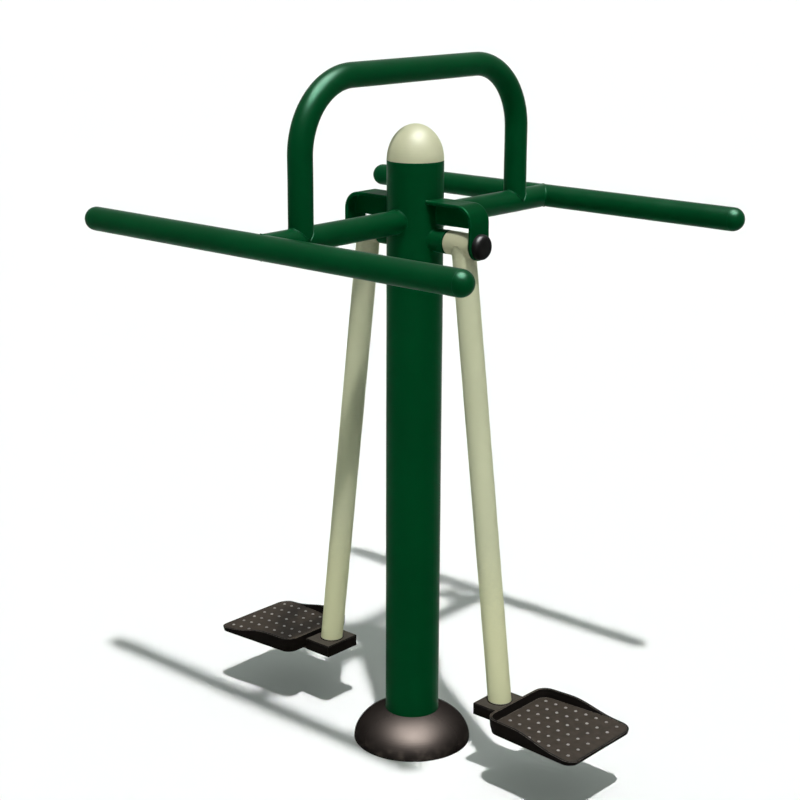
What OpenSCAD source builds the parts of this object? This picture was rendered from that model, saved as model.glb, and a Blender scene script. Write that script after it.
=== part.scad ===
// Outdoor walker: one post, two handlebars, an upper handle and two hanging legs with footplates.
// Millimetres. The origin is on the floor under the post, X runs along the handlebars,
// Y along the cross arms and Z up. Each leg swings about the X axis through the pivot.

/* [Post] */
// Outside diameter of the post
post_d = 114; // [90:1:130]
// Wall of the post tube
post_wall = 4; // [3:0.5:6]
// Height of the post's top edge above the floor
post_top = 1249; // [1200:1:1380]

/* [Post cap] */
// Rise of the domed cap above the post
cap_rise = 71; // [50:1:90]
// Wall of the domed cap
cap_wall = 3; // [2:0.5:5]
// Depth of the cap's spigot inside the post
cap_spigot = 30; // [15:1:50]

/* [Base] */
// Diameter of the anchor flange
flange_d = 220; // [210:1:240]
// Thickness of the anchor flange
flange_t = 12; // [8:1:16]
// Diameter of the drain hole under the post
drain_d = 60; // [30:1:70]
// Diameter of the circle of anchor holes
anchor_pcd = 174; // [168:1:180]
// Diameter of each anchor hole
anchor_hole_d = 18; // [12:1:20]
// Number of anchor holes
anchor_count = 4; // [4:1:6]
// Thickness of each gusset
gusset_t = 6; // [4:1:10]
// Height of the gussets above the flange
gusset_rise = 47; // [30:1:55]
// Height of a gusset at its outer end
gusset_toe = 6; // [4:1:10]
// Distance from the gusset's toe to the flange's edge
gusset_inset = 3; // [1:1:10]
// Room between the flange's edge and the outside of the cover
cover_side_room = 15; // [12:1:30]
// Height of the cover's crown above the gussets, if it ran on over the post
cover_head_room = 19; // [16:1:30]
// Wall of the cover
cover_wall = 3; // [2:0.5:4]

/* [Handlebars] */
// Outside diameter of the handlebars, the cross arms and the upper handle
bar_d = 48; // [38:1:60]
// Wall of these tubes
bar_wall = 3; // [2:0.5:4]
// Height of the handlebars' axes above the floor
bar_z = 1131; // [1080:1:1170]
// Distance between the axes of the two handlebars
bar_spacing = 852; // [780:1:940]
// Length of a handlebar between the centres of its round ends
bar_len = 940; // [840:1:1040]
// Length of the spigot that holds a round end in its bar
dome_spigot = 20; // [10:1:30]

/* [Upper handle] */
// Distance between the axes of the upper handle's two legs
handle_span = 645; // [560:1:700]
// Rise of the upper handle's top axis above the handlebars' axes
handle_rise = 294; // [260:1:330]
// Bend radius of the upper handle, at the tube's axis
handle_bend = 139; // [100:1:180]

/* [Pivot] */
// Depth of the pivot axis below the handlebars' axes
pivot_drop = 36; // [30:1:44]
// Bore of the ball bearings, which is the axle's diameter
bearing_bore = 20; // [17:1:22]
// Outside diameter of the ball bearings
bearing_od = 42; // [40:1:47]
// Width of the ball bearings
bearing_w = 12; // [10:1:14]
// Number of balls in a bearing
ball_count = 9; // [7:1:10]
// Wall of the hub round its bearings
hub_wall = 2.5; // [2.5:0.5:4]
// Length of the hub
hub_len = 64; // [58:1:80]
// Radius of the rounded edges of the hub
hub_round = 2; // [1:0.5:2]
// Length of the axle boss, measured from the side of the post
boss_len = 30; // [20:1:40]
// Running gap between the boss and the hub
hub_gap_in = 3; // [2:0.5:5]
// Running gap between the hub and the bracket
hub_gap_out = 6; // [3:0.5:8]
// Wall of the distance rings on the axle
spacer_wall = 3; // [2:0.5:3]

/* [Brackets] */
// Width of the bent strip, which is also the diameter of its round end and of the shaft cap
strip_w = 55; // [50:1:66]
// Thickness of the bent strip
strip_t = 6; // [4:1:10]
// Height of the strip's top face above the pivot axis
strip_rise = 80; // [72:1:90]
// Inside radius of the strip's bend
strip_bend = 30; // [15:1:35]
// Thickness of the web plate
web_t = 8; // [5:1:12]
// Height of the web's lower edge above the pivot axis
web_lift = 33; // [31:1:40]

/* [Shaft ends] */
// Diameter of the washer on the axle's end
end_washer_d = 36; // [30:1:40]
// Thickness of that washer
end_washer_t = 2.5; // [2:0.5:3]
// Thread diameter of the screw in the axle's end
end_screw_d = 10; // [8:1:12]
// Length of that screw under its head
end_screw_len = 22; // [16:1:30]
// Head diameter of that screw
end_head_d = 17.5; // [16:0.5:20]
// Head height of that screw
end_head_h = 5.5; // [4:0.5:6]
// Wall of the shaft cap
shaft_cap_wall = 2.5; // [1.5:0.5:3]
// Radius of the shaft cap's rounded edge
shaft_cap_round = 7; // [4:0.5:7]

/* [Legs] */
// Outside diameter of the leg tubes
leg_d = 48; // [38:1:50]
// Wall of the leg tubes
leg_wall = 3; // [2:0.5:4]
// Distance from the hub's inner end to the leg's axis, along the pivot
leg_seat = 35; // [28:1:38]
// Lean of the leg, outwards from upright
leg_lean = 6.97; // [4:0.01:9]
// Height of the foot block's top above the floor
foot_top = 160; // [140:1:200]
// Depth of the leg's socket in the foot block
socket_depth = 16; // [10:1:18]

/* [Foot block and carrier] */
// Length of the foot block, outwards
block_len = 71; // [64:1:90]
// Width of the foot block, in the direction of the swing
block_w = 93; // [70:1:110]
// Thickness of the foot block
block_t = 26; // [22:1:32]
// Distance from the block's inner face to the leg's axis at the block's top
block_heel = 34; // [30:1:36]
// Chamfer on the block's edges
block_chamfer = 2; // [1:0.5:3]
// Width of the carrier plate
carrier_w = 60; // [50:1:70]
// Thickness of the carrier plate
carrier_t = 8; // [6:1:12]
// Distance from the block's inner face to the carrier's end
carrier_inset = 14; // [5:1:20]
// Reach of the carrier under the footplate
carrier_reach = 150; // [120:1:180]
// Radius of the carrier's corners
carrier_round = 8; // [4:1:15]

/* [Footplate] */
// Length of the footplate, outwards from the block
plate_len = 224; // [200:1:300]
// Width of the footplate at the block
plate_w_in = 194; // [160:1:200]
// Width of the footplate at its outer end
plate_w_out = 220; // [190:1:240]
// Corner radius at the block
plate_round_in = 28; // [18:1:40]
// Corner radius at the outer end
plate_round_out = 26; // [18:1:45]
// Wall of the footplate's rim
plate_wall = 5; // [4:0.5:7]
// Thickness of the footplate's floor
plate_floor = 5; // [4:0.5:8]
// Depth of the ribbed recess under the floor
plate_recess = 9; // [5:0.5:10]
// Height of the high rim above the floor
rim_high = 19; // [10:1:30]
// Height of the low rim above the floor
rim_low = 0.5; // [0.5:0.5:4]
// Length of the high part of the rim
rim_full = 70; // [50:1:100]
// Length over which the rim falls to its low height
rim_fall = 110; // [60:1:120]
// Taper of the outside wall down to the footplate's underside
plate_draft = 5; // [2:0.5:8]
// Distance from the footplate's inner end to where its floor starts to curve down
curve_start = 135; // [130:1:160]
// Depth that the floor curves down by, up to the outer end
curve_drop = 7.5; // [4:0.5:9]
// Rows of studs along the footplate
stud_rows = 8; // [5:1:10]
// Studs in each row
stud_cols = 6; // [4:1:8]
// Distance from the footplate's inner end to the first row of studs
stud_start = 25.5; // [20:0.5:35]
// Distance from the last row of studs to the outer end
stud_end = 27.5; // [20:0.5:35]
// Diameter of a stud at the floor
stud_d = 6; // [4:0.5:8]
// Height of a stud
stud_h = 1.6; // [1:0.1:3]
// Width of the ribs under the floor
rib_w = 4; // [3:0.5:6]
// Thread diameter of the footplate's bolts
bolt_d = 8; // [6:1:10]
// Length of these bolts under the head
bolt_len = 20; // [14:1:21]
// Distance between the bolts across the carrier
bolt_gauge = 36; // [28:1:40]
// Distance from the footplate's inner end to the first pair of bolts
bolt_start = 35; // [25:1:45]
// Distance between the two pairs of bolts
bolt_pitch = 90; // [70:1:100]

/* [Hidden] */

$fn = 64;

// Overrun of every cut past the face that it opens
over = 1;
// Fit-up gap between two pieces that are welded together
weld_gap = 0.2;
// Radial clearance of a shaft, ring or screw in its bore
fit = 0.05;
// Radial clearance of a plug or spigot in its tube
plug_fit = 0.1;
// Clearance between the balls and their raceways, and between a seal and its inner ring
ball_gap = 0.3;
// Radial clearance of the cover round the post
cover_fit = 0.3;
// Thickness of a slice that a cast wall is lofted through
slice = 0.1;

green = [0.0, 0.22, 0.10];
cream = [0.80, 0.78, 0.62];
dark_brown = [0.17, 0.15, 0.13];
black = [0.06, 0.06, 0.06];
steel = [0.65, 0.66, 0.68];

post_r = post_d / 2;
bar_r = bar_d / 2;
bar_y = bar_spacing / 2;
pivot_z = bar_z - pivot_drop;

// The cover's outer ellipse clears the flange and the gussets
cover_a = flange_d / 2 + cover_side_room;
cover_b = flange_t + gusset_rise + cover_head_room;
// Steps along the curved profile of the cover and of the cap
dome_steps = 18;

// Stations along the pivot axis, from the post outwards
boss_end = post_r + boss_len;
hub_start = boss_end + hub_gap_in;
hub_end = hub_start + hub_len;
strip_in = hub_end + hub_gap_out;
strip_out = strip_in + strip_t;
axle_r = bearing_bore / 2;
hub_r = bearing_od / 2 + hub_wall;
// Lip of the hub outside its circlip, and the groove and the clip in it
hub_lip = 1.65;
clip_groove_w = 1.85;
clip_groove_depth = 1;
clip_t = 1.75;
clip_ring_w = 2.6;
clip_lug_r = 2.2;
clip_hole_r = 0.9;
clip_opening = 9;
bearing_recess = hub_lip + clip_groove_w;
// Shoulder between the two bearing seats
hub_shoulder = 2.5;

// Bearing section: the raceways run on a circle midway between bore and outside
race_pitch_r = (bearing_bore + bearing_od) / 4;
ball_share = 0.28;
ball_r = ball_share * (bearing_od - bearing_bore) / 2;
ring_share = 0.28;
ring_t = ring_share * (bearing_od - bearing_bore) / 2;
cage_t = 1.6;
cage_w_share = 0.6;
seal_t = 0.8;
seal_set = 0.2;

// The screw head sits under the shaft cap with this much room
cap_head_gap = 0.5;
shaft_cap_rise = end_washer_t + end_head_h + cap_head_gap + shaft_cap_wall;
// Collar inside the shaft cap, which grips the washer's edge
collar_t = 2;
// Setback of the axle's end, so that the washer clamps the bracket
axle_setback = 0.5;
end_socket_af = 6;
end_socket_depth = 3;
// Room past the screw's tip in the axle's tapped hole
tap_room = 3;

// The leg's axis starts on the pivot axis and leans outwards
leg_x = hub_start + leg_seat;
leg_end_z = foot_top - socket_depth;
leg_run = (pivot_z - leg_end_z) / cos(leg_lean);
foot_x = leg_x + (pivot_z - foot_top) * tan(leg_lean);
block_x = foot_x - block_heel;
foot_bottom = foot_top - block_t;
plate_x = block_x + block_len;

// Seat bosses stand below the footplate's skirt and rest on the carrier
seat_boss_h = 3;
seat_boss_r = 10;
// Levels of the footplate above its own underside
floor_z = plate_recess + plate_floor;
rim_top = floor_z + rim_high;
plate_z = foot_bottom + seat_boss_h;
// Slope of the footplate's sides
side_angle = atan((plate_w_out - plate_w_in) / 2 / plate_len);
// Part of the footplate's width that the outermost studs span
stud_span_share = 0.76;
stud_tip_share = 0.6;
// Draft of the rim's inner wall, from the lowest floor to the rim's edge
inner_draft = 2;
// Steps round each corner of the footplate and along the curve of its rim and floor
corner_steps = 6;
side_steps = 18;
bolt_head_af = 13;
bolt_head_h = 5.3;
bolt_washer_t = 1.6;
bolt_washer_d = 16;
// Room past the bolt's tip in its blind hole
bolt_room = 0.5;
// Part of a hexagonal head's height that its rounded top takes
head_round_share = 0.25;

// Turns an upright shape to lie along +X
module along_x() {
    rotate([0, 90, 0]) children();
}

// Turns an upright shape to lie along +Y
module along_y() {
    rotate([-90, 0, 0]) children();
}

// The same shape on the other side of the post
module on_left() {
    mirror([1, 0, 0]) children();
}

module on_both_sides() {
    children();
    on_left() children();
}

// Places a shape that is drawn round the Z axis on the pivot axis, its base at x
module on_pivot(x) {
    translate([x, 0, pivot_z]) along_x() children();
}

module ring(r_out, r_in, h) {
    difference() {
        cylinder(r = r_out, h = h);
        translate([0, 0, -over]) cylinder(r = r_in, h = h + 2 * over);
    }
}

// Space of the whole post, used to cope what is welded to it
module post_space() {
    cylinder(r = post_r + weld_gap, h = post_top);
}

// Block from the origin with one rounded corner, far from the origin
module corner_block(x, y, r) {
    square([x - r, y]);
    square([x, y - r]);
    intersection() {
        translate([x - r, y - r]) circle(r = r);
        square([x, y]);
    }
}

module hex_prism(across_flats, h) {
    cylinder(d = across_flats / cos(30), h = h, $fn = 6);
}

function ellipse_point(a, b, t) = [a * cos(t), b * sin(t)];

// Profile of a domed shell: outer ellipse up, inner ellipse down, from the rim to radius r
function dome_profile(a, b, wall, r) =
    let (
        top_out = acos(r / a),
        top_in = acos(r / (a - wall))
    )
    concat(
        [for (i = [0 : dome_steps]) ellipse_point(a, b, top_out * i / dome_steps)],
        [for (i = [dome_steps : -1 : 0])
            ellipse_point(a - wall, b - wall, top_in * i / dome_steps)]
    );

module base_flange() {
    color(green)
    difference() {
        cylinder(d = flange_d, h = flange_t);
        translate([0, 0, -over]) cylinder(d = drain_d, h = flange_t + 2 * over);
        for (i = [0 : anchor_count - 1])
            rotate([0, 0, (i + 0.5) * 360 / anchor_count])
            translate([anchor_pcd / 2, 0, -over])
            cylinder(d = anchor_hole_d, h = flange_t + 2 * over);
    }
}

// One rib stands between each two anchor holes
module base_gussets() {
    reach = flange_d / 2 - gusset_inset;
    start = post_r + weld_gap;
    color(green)
    for (i = [0 : anchor_count - 1])
        rotate([90, 0, i * 360 / anchor_count])
        linear_extrude(height = gusset_t, center = true)
        polygon([
            [start, flange_t],
            [reach, flange_t],
            [reach, flange_t + gusset_toe],
            [start + gusset_toe, flange_t + gusset_rise],
            [start, flange_t + gusset_rise],
        ]);
}

// Spun dome that stands on the floor and closes round the post
module base_cover() {
    color(dark_brown)
    rotate_extrude($fn = 96)
    polygon(dome_profile(cover_a, cover_b, cover_wall, post_r + cover_fit));
}

module post() {
    color(green)
    difference() {
        translate([0, 0, flange_t]) ring(post_r, post_r - post_wall, post_top - flange_t);
        on_pivot(-post_d) cylinder(r = axle_r + weld_gap, h = 2 * post_d);
    }
}

// Egg-shaped shell with a spigot that plugs the post
module post_cap() {
    spigot_r = post_r - post_wall - plug_fit;
    color(cream)
    translate([0, 0, post_top])
    union() {
        rotate_extrude($fn = 96)
        polygon(concat(
            [for (i = [0 : dome_steps])
                ellipse_point(post_r, cap_rise, 90 * i / dome_steps)],
            [for (i = [dome_steps : -1 : 0])
                ellipse_point(spigot_r - cap_wall, cap_rise - cap_wall, 90 * i / dome_steps)]
        ));
        translate([0, 0, -cap_spigot]) ring(spigot_r, spigot_r - cap_wall, cap_spigot);
    }
}

// Short tube from the post to one handlebar, coped to both
module cross_arm() {
    color(green)
    difference() {
        translate([0, 0, bar_z]) along_y() ring(bar_r, bar_r - bar_wall, bar_y);
        post_space();
        translate([-bar_d, bar_y, bar_z])
            along_x() cylinder(r = bar_r + weld_gap, h = 2 * bar_d);
    }
}

// Straight tube of the rear handlebar
module handlebar() {
    color(green)
    translate([-bar_len / 2, bar_y, bar_z])
    along_x() ring(bar_r, bar_r - bar_wall, bar_len);
}

// Round end with the spigot that holds it in the bar, drawn with its seat at the origin
module bar_end() {
    spigot_r = bar_r - bar_wall - plug_fit;
    difference() {
        union() {
            difference() {
                sphere(r = bar_r);
                translate([0, 0, -bar_d]) cylinder(r = bar_d, h = bar_d);
            }
            translate([0, 0, -dome_spigot]) cylinder(r = spigot_r, h = dome_spigot + over);
        }
        sphere(r = spigot_r - bar_wall);
        translate([0, 0, -dome_spigot - over])
            cylinder(r = spigot_r - bar_wall, h = dome_spigot + over);
    }
}

module bar_ends() {
    color(green)
    translate([0, bar_y, bar_z])
    for (turn = [0, 180])
        rotate([0, 0, turn]) translate([bar_len / 2, 0, 0]) along_x() bar_end();
}

// Solid along the upper handle's bent axis, from the cross arms' axes up and over
module handle_run(r) {
    half = handle_span / 2;
    straight_up = handle_rise - handle_bend;
    translate([0, 0, bar_z])
    for (turn = [0, 180])
        rotate([0, 0, turn]) {
            translate([0, half, 0]) cylinder(r = r, h = straight_up);
            translate([0, half - handle_bend, straight_up])
                rotate([90, 0, 90])
                rotate_extrude(angle = 90)
                translate([handle_bend, 0]) circle(r = r);
            translate([0, 0, handle_rise])
                along_y() cylinder(r = r, h = half - handle_bend);
        }
}

// One tube bent to an upside-down U, coped to the cross arms that it stands on
module upper_handle() {
    color(green)
    difference() {
        handle_run(bar_r);
        handle_run(bar_r - bar_wall);
        translate([0, -bar_spacing / 2, bar_z])
            along_y() cylinder(r = bar_r + weld_gap, h = bar_spacing);
    }
}

// Flat bar that runs out from the post, bends down and ends round about the pivot
module bracket_strip() {
    color(green)
    difference() {
        union() {
            translate([0, 0, pivot_z])
                rotate([90, 0, 0])
                linear_extrude(height = strip_w, center = true)
                difference() {
                    corner_block(strip_out, strip_rise, strip_bend + strip_t);
                    corner_block(strip_in, strip_rise - strip_t, strip_bend);
                }
            on_pivot(strip_in) cylinder(d = strip_w, h = strip_t);
        }
        post_space();
        on_pivot(strip_in - over) cylinder(r = axle_r + fit, h = strip_t + 2 * over);
    }
}

// Plate in the corner of the bent strip, square to it, with its lower edge above the hub
module bracket_web() {
    color(green)
    difference() {
        translate([0, 0, pivot_z])
            rotate([90, 0, 0])
            linear_extrude(height = web_t, center = true)
            difference() {
                corner_block(
                    strip_in - weld_gap,
                    strip_rise - strip_t - weld_gap,
                    strip_bend - weld_gap
                );
                square([strip_out, web_lift]);
            }
        post_space();
    }
}

module axle_boss() {
    color(green)
    difference() {
        on_pivot(0) ring(hub_r, axle_r + fit, boss_end);
        post_space();
    }
}

// Straight shaft through the post, both bosses and both brackets, tapped at its ends
module pivot_axle() {
    axle_end = strip_out - axle_setback;
    color(steel)
    difference() {
        on_pivot(-axle_end) cylinder(r = axle_r, h = 2 * axle_end);
        on_both_sides()
            on_pivot(strip_out - end_screw_len - tap_room)
            cylinder(r = end_screw_d / 2 + fit, h = end_screw_len + tap_room + over);
    }
}

module axle_end_washers() {
    color(steel)
    on_both_sides()
        on_pivot(strip_out) ring(end_washer_d / 2, end_screw_d / 2 + plug_fit, end_washer_t);
}

// Low round-headed screw with a hexagonal socket
module axle_end_screws() {
    head_x = strip_out + end_washer_t;
    color(steel)
    on_both_sides()
        difference() {
            union() {
                on_pivot(head_x)
                    rotate_extrude()
                    corner_block(end_head_d / 2, end_head_h, end_head_h / 2);
                on_pivot(head_x - end_screw_len)
                    cylinder(d = end_screw_d, h = end_screw_len + over);
            }
            on_pivot(head_x + end_head_h - end_socket_depth)
                hex_prism(end_socket_af, end_socket_depth + over);
        }
}

// Moulded cap with a rounded edge and an inner collar that snaps over the end washer
module shaft_cap() {
    inside_rise = shaft_cap_rise - shaft_cap_wall;
    collar_r = end_washer_d / 2 + plug_fit;
    color(black)
    on_pivot(strip_out)
        rotate_extrude()
        union() {
            difference() {
                corner_block(strip_w / 2, shaft_cap_rise, shaft_cap_round);
                corner_block(
                    strip_w / 2 - shaft_cap_wall,
                    inside_rise,
                    shaft_cap_round - shaft_cap_wall
                );
            }
            translate([collar_r, 0]) square([collar_t, inside_rise + over]);
        }
}

// Places a bearing at both ends of the hub, drawn from its inner face towards +Z
module at_bearings() {
    on_pivot(hub_start + bearing_recess) children();
    on_pivot(hub_end - bearing_recess - bearing_w) children();
}

// Rings between boss, bearings and bracket, and the sleeve between the two bearings
module axle_spacers() {
    near = hub_start + bearing_recess;
    far = hub_end - bearing_recess;
    spacer_r = axle_r + plug_fit + spacer_wall;
    color(steel) {
        on_pivot(boss_end) ring(spacer_r, axle_r + plug_fit, near - boss_end);
        on_pivot(near + bearing_w)
            ring(spacer_r, axle_r + plug_fit, far - near - 2 * bearing_w);
        on_pivot(far) ring(spacer_r, axle_r + plug_fit, strip_in - far);
    }
}

// Section of one bearing ring with its raceway, between two radii
module race_section(r_in, r_out) {
    difference() {
        translate([r_in, 0]) square([r_out - r_in, bearing_w]);
        translate([race_pitch_r, bearing_w / 2]) circle(r = ball_r + ball_gap);
    }
}

module bearing_inner_rings() {
    color(steel)
    at_bearings()
        rotate_extrude() race_section(axle_r + fit, axle_r + ring_t);
}

module bearing_outer_rings() {
    color(steel)
    at_bearings()
        rotate_extrude() race_section(bearing_od / 2 - ring_t, bearing_od / 2);
}

// Repeats a shape at every ball, its Z axis pointing away from the bearing's axis
module at_balls() {
    for (i = [0 : ball_count - 1])
        rotate([0, 0, i * 360 / ball_count])
        translate([race_pitch_r, 0, bearing_w / 2]) along_x() children();
}

module bearing_balls() {
    color(steel) at_bearings() at_balls() sphere(r = ball_r);
}

// Band with one round pocket for each ball
module bearing_cages() {
    cage_w = cage_w_share * bearing_w;
    color(black)
    at_bearings()
        difference() {
            translate([0, 0, (bearing_w - cage_w) / 2])
                ring(race_pitch_r + cage_t / 2, race_pitch_r - cage_t / 2, cage_w);
            at_balls()
                translate([0, 0, -cage_t])
                cylinder(r = ball_r + plug_fit, h = 2 * cage_t, $fn = 32);
        }
}

// Thin discs that close both faces of a bearing
module bearing_seals() {
    r_in = axle_r + ring_t + ball_gap;
    r_out = bearing_od / 2 - ring_t - plug_fit;
    color(black)
    at_bearings()
        for (z = [seal_set, bearing_w - seal_set - seal_t])
            translate([0, 0, z]) ring(r_out, r_in, seal_t);
}

// Tube with rounded edges, and with a bearing seat and a circlip groove at each end
module hub() {
    seat_depth = bearing_recess + bearing_w;
    seat_r = bearing_od / 2 + fit;
    color(cream)
    on_pivot(hub_start)
        difference() {
            translate([0, 0, hub_len / 2])
                rotate_extrude()
                union() {
                    corner_block(hub_r, hub_len / 2, hub_round);
                    mirror([0, 1]) corner_block(hub_r, hub_len / 2, hub_round);
                }
            translate([0, 0, -over])
                cylinder(r = seat_r - hub_shoulder, h = hub_len + 2 * over);
            for (z = [-over, hub_len - seat_depth])
                translate([0, 0, z]) cylinder(r = seat_r, h = seat_depth + over);
            for (z = [hub_lip, hub_len - hub_lip - clip_groove_w])
                translate([0, 0, z])
                cylinder(r = seat_r + clip_groove_depth, h = clip_groove_w);
        }
}

// Open retaining rings with a lug at each side of the opening
module hub_circlips() {
    clip_r = bearing_od / 2 + clip_groove_depth;
    lug_r = clip_r - clip_ring_w;
    lug_turn = asin((clip_opening / 2 + clip_lug_r) / lug_r);
    clip_inset = hub_lip + (clip_groove_w - clip_t) / 2;
    color(steel)
    for (z = [clip_inset, hub_len - clip_inset - clip_t])
        on_pivot(hub_start + z)
        difference() {
            union() {
                difference() {
                    ring(clip_r, clip_r - clip_ring_w, clip_t);
                    translate([0, -clip_opening / 2, -over])
                        cube([clip_r + over, clip_opening, clip_t + 2 * over]);
                }
                for (turn = [-lug_turn, lug_turn])
                    rotate([0, 0, turn]) translate([lug_r, 0, 0])
                    cylinder(r = clip_lug_r, h = clip_t);
            }
            for (turn = [-lug_turn, lug_turn])
                rotate([0, 0, turn]) translate([lug_r, 0, -over])
                cylinder(r = clip_hole_r, h = clip_t + 2 * over);
        }
}

// Places an upright shape so that it runs down along the leg's axis from the pivot
module down_leg() {
    translate([leg_x, 0, pivot_z]) rotate([0, 180 - leg_lean, 0]) children();
}

// Leaning tube, coped to the hub at its top and standing in the block's socket
module leg_tube() {
    color(cream)
    difference() {
        down_leg() ring(leg_d / 2, leg_d / 2 - leg_wall, leg_run);
        on_pivot(hub_start - leg_d) cylinder(r = hub_r + weld_gap, h = hub_len + 2 * leg_d);
    }
}

// Outline of a rectangle with cut corners, from the origin
module cut_corner_rect(x, y, c) {
    polygon([
        [c, 0], [x - c, 0], [x, c], [x, y - c],
        [x - c, y], [c, y], [0, y - c], [0, c],
    ]);
}

// Rectangular block with chamfered edges and the leaning socket of the leg
module foot_block() {
    c = block_chamfer;
    color(dark_brown)
    difference() {
        translate([block_x, -block_w / 2, foot_bottom])
            intersection() {
                linear_extrude(height = block_t) cut_corner_rect(block_len, block_w, c);
                translate([0, block_w, 0])
                    rotate([90, 0, 0])
                    linear_extrude(height = block_w) cut_corner_rect(block_len, block_t, c);
                rotate([90, 0, 90])
                    linear_extrude(height = block_len) cut_corner_rect(block_w, block_t, c);
            }
        down_leg() cylinder(r = leg_d / 2 + weld_gap, h = leg_run);
    }
}

// Places a shape at each of the footplate's bolts, on the carrier's top face
module at_bolts() {
    for (u = [bolt_start, bolt_start + bolt_pitch], v = [-bolt_gauge / 2, bolt_gauge / 2])
        translate([plate_x + u, v, foot_bottom]) children();
}

// Flat bar under block and footplate
module carrier_plate() {
    start = block_x + carrier_inset;
    len = plate_x + carrier_reach - start;
    r = carrier_round;
    color(dark_brown)
    difference() {
        translate([start, -carrier_w / 2, foot_bottom - carrier_t])
            linear_extrude(height = carrier_t)
            union() {
                translate([r, 0]) square([len - 2 * r, carrier_w]);
                translate([0, r]) square([len, carrier_w - 2 * r]);
                for (x = [r, len - r], y = [r, carrier_w - r])
                    translate([x, y]) circle(r = r);
            }
        at_bolts()
            translate([0, 0, -carrier_t - over])
            cylinder(r = bolt_d / 2 + plug_fit, h = carrier_t + 2 * over);
    }
}

// Half width of the footplate at a distance u from its inner end
function half_width(u) = plate_w_in / 2 + u * tan(side_angle);

// Centre of a corner's arc on the +Y side, at distance u from the inner end, radius r
function corner_centre(u, r) = [u, half_width(u) - r / cos(side_angle)];

// Points of one corner's arc, set in from the outline, from one angle to another
function corner_arc(centre, r, from, to) =
    [for (i = [0 : corner_steps])
        let (t = from + (to - from) * i / corner_steps)
        centre + r * [cos(t), sin(t)]];

// Half of the outline on the +Y side, from the inner end to the outer end
function half_outline(inset) = concat(
    corner_arc(
        corner_centre(plate_round_in, plate_round_in),
        plate_round_in - inset, 180, 90 + side_angle
    ),
    corner_arc(
        corner_centre(plate_len - plate_round_out, plate_round_out),
        plate_round_out - inset, 90 + side_angle, 0
    )
);

function mirrored(points) =
    [for (i = [len(points) - 1 : -1 : 0]) [points[i][0], -points[i][1]]];

// Tapered outline with round corners, set in all round
module plate_outline(inset) {
    half = half_outline(inset);
    polygon(concat(half, mirrored(half)));
}

// Loft through outlines, each given as [height, inset]
module plate_loft(levels) {
    hull()
    for (level = levels)
        translate([0, 0, level[0]])
        linear_extrude(height = slice) plate_outline(level[1]);
}

// Depth that the floor has curved down by at a distance u from the inner end
function drop(u) =
    curve_drop * pow(max(0, u - curve_start) / (plate_len - curve_start), 2);

// Height of the rim above the floor: it falls in an S from its high to its low height
function rim_height(u) =
    let (t = min(1, max(0, (u - rim_full) / rim_fall)))
    rim_low + (rim_high - rim_low) * (1 + cos(180 * t)) / 2;

// Space above a curve along the footplate, given as points from the inner to the outer end
module above(curve) {
    rotate([90, 0, 0])
    linear_extrude(height = 2 * plate_w_out, center = true)
    polygon(concat(
        curve,
        [[plate_len + over, rim_top + plate_wall], [-over, rim_top + plate_wall]]
    ));
}

// Points at even steps along the footplate, lowered with its floor from a level
function side_curve(level) = concat(
    [[-over, level]],
    [for (i = [0 : side_steps])
        let (u = curve_start + (plate_len + over - curve_start) * i / side_steps)
        [u, level - drop(u)]]
);

// Ribs that stay standing in the recess under the floor
module rib_grid() {
    for (u = [bolt_start, bolt_start + bolt_pitch / 2, bolt_start + bolt_pitch])
        translate([u - rib_w / 2, -plate_w_out / 2]) square([rib_w, plate_w_out]);
    for (v = [-bolt_gauge / 2, bolt_gauge / 2])
        translate([0, v - rib_w / 2]) square([plate_len, rib_w]);
}

module studs() {
    pitch = (plate_len - stud_start - stud_end) / (stud_rows - 1);
    for (i = [0 : stud_rows - 1], j = [0 : stud_cols - 1]) {
        u = stud_start + pitch * i;
        reach = stud_span_share * half_width(u);
        translate([u, reach * (2 * j / (stud_cols - 1) - 1), floor_z - drop(u) - over])
        cylinder(r1 = stud_d / 2, r2 = stud_tip_share * stud_d / 2, h = stud_h + over, $fn = 16);
    }
}

// Cast tray: high rim at the leg that falls away outwards, studded floor, ribs and seats below
module footplate() {
    rim_curve = [for (i = [0 : side_steps])
        let (u = rim_full + (plate_len + over - rim_full) * i / side_steps)
        [u, floor_z - drop(u) + rim_height(u)]];
    color(dark_brown)
    difference() {
        union() {
            translate([plate_x, 0, plate_z])
            difference() {
                plate_loft([
                    [0, plate_draft],
                    [floor_z, plate_draft / 4],
                    [rim_top - slice, 0],
                ]);
                intersection() {
                    plate_loft([
                        [floor_z - curve_drop, plate_wall + inner_draft],
                        [rim_top, plate_wall],
                    ]);
                    above(side_curve(floor_z));
                }
                above(rim_curve);
                difference() {
                    translate([0, 0, -over])
                        linear_extrude(height = plate_recess + over)
                        difference() {
                            plate_outline(plate_draft + plate_wall);
                            rib_grid();
                        }
                    above(side_curve(plate_recess));
                }
            }
            translate([plate_x, 0, plate_z]) studs();
            at_bolts() cylinder(r = seat_boss_r, h = seat_boss_h + floor_z - slice);
        }
        at_bolts()
            translate([0, 0, -over])
            cylinder(r = bolt_d / 2 + fit, h = bolt_len - carrier_t + bolt_room + over);
    }
}

// Hexagonal head with a turned-down top, drawn downwards from its seat
module hex_head(across_flats, h) {
    top = head_round_share * h;
    intersection() {
        translate([0, 0, -h]) hex_prism(across_flats, h);
        union() {
            translate([0, 0, -h])
                cylinder(r1 = across_flats / 2, r2 = across_flats / 2 + 2 * top, h = top);
            translate([0, 0, top - h]) cylinder(r = across_flats, h = h - top);
        }
    }
}

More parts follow.
